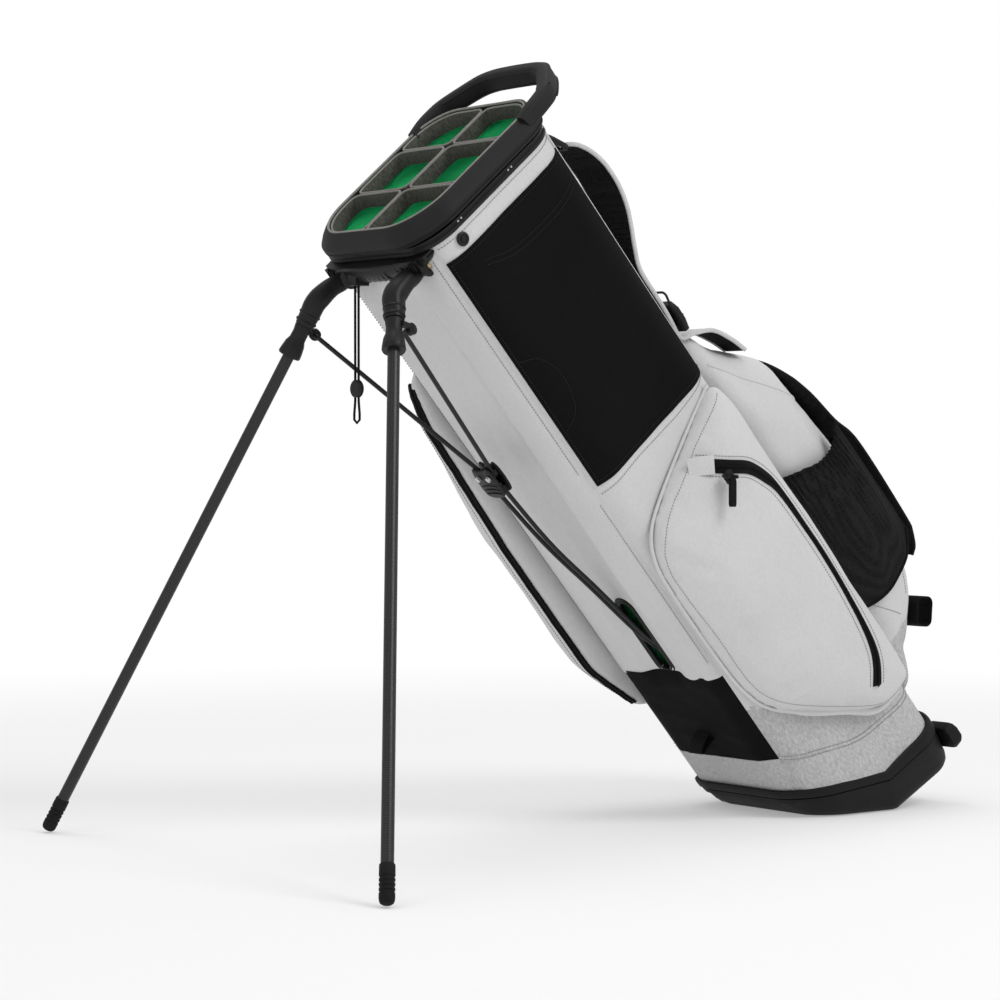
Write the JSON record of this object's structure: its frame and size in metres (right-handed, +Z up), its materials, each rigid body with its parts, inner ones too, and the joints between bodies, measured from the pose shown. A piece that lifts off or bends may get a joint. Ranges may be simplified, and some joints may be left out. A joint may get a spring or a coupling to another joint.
{
  "type": "golf stand bag",
  "caption": "Leaning golf bag with a six-well divided mouth, two folding carbon legs driven by a tilting base, zipped pockets, padded straps and a lift handle.",
  "frame": {"origin": "on the ground, on the leaning face of the sole, in the bag's middle plane", "axes": "+Z up; -X towards the legs' feet; +X towards the heel and the straps; +Y to the bag's left"},
  "size_m": [0.9342, 0.6222, 0.7858],
  "materials": {
    "fabric_light": "matte woven",
    "fabric_hem": "matte heathered",
    "fabric_black": "matte woven",
    "mesh_black": "open mesh",
    "zip_black": "satin",
    "plastic_black": "moulded",
    "cuff_black": "soft matte",
    "divider_padding": "fleece",
    "liner_green": "satin",
    "carbon": "woven carbon",
    "rod_steel": "black lacquer",
    "bright_steel": "bright",
    "rubber": "matte",
    "webbing": "ribbed webbing",
    "strap_padding": "matte woven",
    "stay_black": "glass fibre",
    "cord_black": "braided"
  },
  "bodies": {
    "bag": {"front_panel": "fabric_light", "lower_gusset": "fabric_black", "spine_panel": "fabric_light", "side_panel_right": "fabric_light", "side_panel_left": "fabric_light", "upper_pocket_right": "fabric_black", "apparel_pocket_left": "fabric_light", "apparel_zip_left": "zip_black", "side_pocket_right": "fabric_light", "side_zip_right": "zip_black", "zip_slider": "zip_black", "rear_pouch": "fabric_light", "mesh_pocket": "mesh_black", "hip_pad": "mesh_black", "rear_loop": "webbing", "front_tab": "webbing", "collar_band": "plastic_black", "cuff_ring": "cuff_black", "lift_handle": "cuff_black", "divider_top": "divider_padding", "divider_sheets": "liner_green", "liner_sleeve": "liner_green", "spine_stay": "stay_black", "side_stays": "stay_black", "leg_hub": "plastic_black", "pivot_bolts": "bright_steel", "hub_screws": "bright_steel", "snap_buttons": "plastic_black", "rod_guide": "rubber", "strap_right": "strap_padding", "strap_left": "strap_padding", "strap_locks": "plastic_black", "strap_buckles": "plastic_black", "strap_webbing": "webbing", "towel_cord": "cord_black", "base_hinge_pin": "bright_steel", "base_hinge_bracket": "plastic_black"},
    "base": {"base_cup": "rubber", "base_rim_trim": "rubber", "hem_band": "fabric_hem", "heel_bumper": "rubber", "rod_anchor_pin": "bright_steel"},
    "leg_left": {"elbow_left": "plastic_black", "leg_tube_left": "carbon", "leg_tip_left": "rubber", "rod_yoke_left": "plastic_black"},
    "leg_right": {"elbow_right": "plastic_black", "leg_tube_right": "carbon", "leg_tip_right": "rubber", "rod_yoke_right": "plastic_black"},
    "lower_rods": {"lower_rods": "rod_steel", "spreader_clip": "plastic_black", "clip_rivets": "bright_steel"},
    "upper_rod_left": {"upper_rod_left": "rod_steel"},
    "upper_rod_right": {"upper_rod_right": "rod_steel"},
    "zip_pull": {"zip_pull": "zip_black"},
    "cord_lock": {"cord_lock": "plastic_black"}
  },
  "joints": [
    {"name": "leg_left_fold", "type": "hinge", "parent": "bag", "child": "leg_left", "pos_m": [-0.56299, 0.0586, 0.56844], "axis": [-0.3261, -0.8991, -0.2919], "range_deg": [0, 60.82]},
    {"name": "leg_right_fold", "type": "hinge", "parent": "bag", "child": "leg_right", "pos_m": [-0.56299, -0.0586, 0.56844], "axis": [0.3261, -0.8991, 0.2919], "range_deg": [0, 60.83]},
    {"name": "base_tilt", "type": "hinge", "parent": "bag", "child": "base", "pos_m": [0.0943, 0, 0.10498], "axis": [0, -1, 0], "range_deg": [0, 16.88]},
    {"name": "stay_rod_swing", "type": "hinge", "parent": "base", "child": "lower_rods", "pos_m": [-0.07579, 0, 0.04457], "axis": [0, 1, 0], "range_deg": [0, 22.1]},
    {"name": "rod_left_swing", "type": "hinge", "parent": "lower_rods", "child": "upper_rod_left", "pos_m": [-0.43372, 0.009, 0.36944], "axis": [0.6713, 0.0396, 0.7401], "range_deg": [0, 6.75]},
    {"name": "rod_right_swing", "type": "hinge", "parent": "lower_rods", "child": "upper_rod_right", "pos_m": [-0.43372, -0.009, 0.36944], "axis": [-0.6713, 0.0396, -0.7401], "range_deg": [0, 6.75]},
    {"name": "zip_pull_swing", "type": "hinge", "parent": "bag", "child": "zip_pull", "pos_m": [-0.23336, -0.1464, 0.36606], "axis": [-1, 0, 0], "range_deg": [0, 100]},
    {"name": "cord_lock_slide", "type": "slide", "parent": "bag", "child": "cord_lock", "axis": [0, 0, 1], "range_m": [0, 0.085]}
  ],
  "couplings": [
    {"joint": "leg_right_fold", "follows": "leg_left_fold", "ratio": 1},
    {"joint": "base_tilt", "follows": "leg_left_fold", "ratio": 0.27734},
    {"joint": "stay_rod_swing", "follows": "leg_left_fold", "ratio": 0.36314},
    {"joint": "rod_left_swing", "follows": "leg_left_fold", "ratio": 0.11074},
    {"joint": "rod_right_swing", "follows": "leg_left_fold", "ratio": 0.11074}
  ]
}
